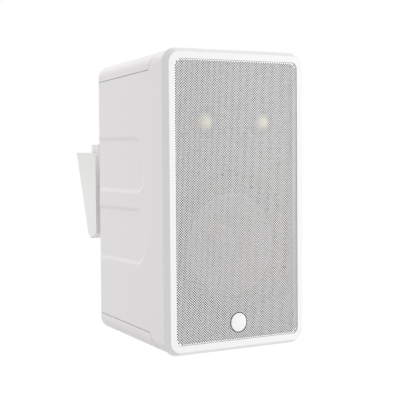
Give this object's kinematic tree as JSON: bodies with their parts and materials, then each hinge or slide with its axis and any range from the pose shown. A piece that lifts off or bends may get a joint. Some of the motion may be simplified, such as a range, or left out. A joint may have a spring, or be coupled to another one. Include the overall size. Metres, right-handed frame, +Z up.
{
  "type": "outdoor patio speaker",
  "caption": "White outdoor speaker: tapered moulded cabinet, perforated grille in a rounded trim frame, woofer and paired dome tweeters, on a panning wedge wall bracket.",
  "frame": {"origin": "floor level, under the middle of the whole object's box", "axes": "+Z up along the cabinet's height, -Y out of the grille, +X to the right seen from the front"},
  "size_m": [0.182, 0.2426, 0.318],
  "materials": {
    "cabinet_white": "fine-textured white moulding",
    "trim_white": "smooth satin white moulding",
    "grille_white": "white powder coat on perforated sheet",
    "badge_white": "polished white with a dark groove",
    "baffle_black": "black moulding",
    "seal_black": "closed-cell foam",
    "screw_steel": "stainless",
    "basket_black": "black coat",
    "cone_grey": "moulded polypropylene",
    "dome_gold": "gold anodised",
    "surround_black": "butyl rubber",
    "spider_cloth": "varnished cloth",
    "coil_copper": "varnished copper winding",
    "magnet_dark": "sintered ferrite",
    "plate_steel": "zinc plated",
    "board_green": "circuit board",
    "capacitor_film": "wrapped film",
    "wadding_white": "polyester wadding",
    "terminal_black": "black moulding",
    "terminal_red": "red moulding",
    "bracket_white": "fine-textured white moulding",
    "washer_nylon": "nylon"
  },
  "bodies": {
    "cabinet": {"cabinet_shell": "cabinet_white", "top_cover": "cabinet_white", "bottom_cover": "cabinet_white", "trim_frame": "trim_white", "grille": "grille_white", "badge": "badge_white", "front_baffle": "baffle_black", "baffle_gasket": "seal_black", "baffle_screws": "screw_steel", "woofer_basket": "basket_black", "woofer_gasket": "seal_black", "woofer_screws": "screw_steel", "woofer_surround": "surround_black", "woofer_spider": "spider_cloth", "woofer_top_plate": "plate_steel", "woofer_magnet": "magnet_dark", "woofer_back_plate": "plate_steel", "tweeter_screws": "screw_steel", "crossover_board": "board_green", "board_screws": "screw_steel", "inductors": "coil_copper", "capacitors": "capacitor_film", "damping_wadding": "wadding_white", "terminal_plate": "terminal_black", "terminal_screws": "screw_steel", "binding_post_black": "terminal_black", "binding_post_red": "terminal_red", "dock_plate": "bracket_white", "dock_screws": "screw_steel", "pivot_pin": "screw_steel", "pin_clip": "screw_steel", "pivot_washers": "washer_nylon", "tweeter_face_left": "baffle_black", "tweeter_surround_left": "surround_black", "tweeter_motor_left": "magnet_dark", "tweeter_face_right": "baffle_black", "tweeter_surround_right": "surround_black", "tweeter_motor_right": "magnet_dark"},
    "woofer_cone_unit": {"woofer_cone": "cone_grey", "voice_coil": "coil_copper", "dust_cap": "cone_grey"},
    "left_dome": {"tweeter_dome_left": "dome_gold"},
    "right_dome": {"tweeter_dome_right": "dome_gold"},
    "wall_bracket": {"bracket_wedge": "bracket_white", "wall_plate": "plate_steel", "latch_spring": "screw_steel"},
    "release": {"release_bar": "bracket_white"}
  },
  "joints": [
    {"name": "woofer_travel", "type": "slide", "parent": "cabinet", "child": "woofer_cone_unit", "axis": [0, -1, 0], "range_m": [-0.005, 0.005], "stiffness_N_per_m": 1500, "deforming": ["woofer_surround", "woofer_spider"]},
    {"name": "left_dome_travel", "type": "slide", "parent": "cabinet", "child": "left_dome", "axis": [0, -1, 0], "range_m": [-0.0004, 0.0004], "stiffness_N_per_m": 1500, "deforming": ["tweeter_surround_left"]},
    {"name": "right_dome_travel", "type": "slide", "parent": "cabinet", "child": "right_dome", "axis": [0, -1, 0], "range_m": [-0.0004, 0.0004], "stiffness_N_per_m": 1500, "deforming": ["tweeter_surround_right"]},
    {"name": "bracket_pan", "type": "hinge", "parent": "cabinet", "child": "wall_bracket", "pos_m": [0, 0.06975, 0.159], "axis": [0, 0, 1], "range_deg": [-15, 15]},
    {"name": "release_press", "type": "slide", "parent": "wall_bracket", "child": "release", "axis": [0, 0, -1], "range_m": [0, 0.004], "stiffness_N_per_m": 600, "springref_m": -0.004, "deforming": ["latch_spring"]}
  ]
}
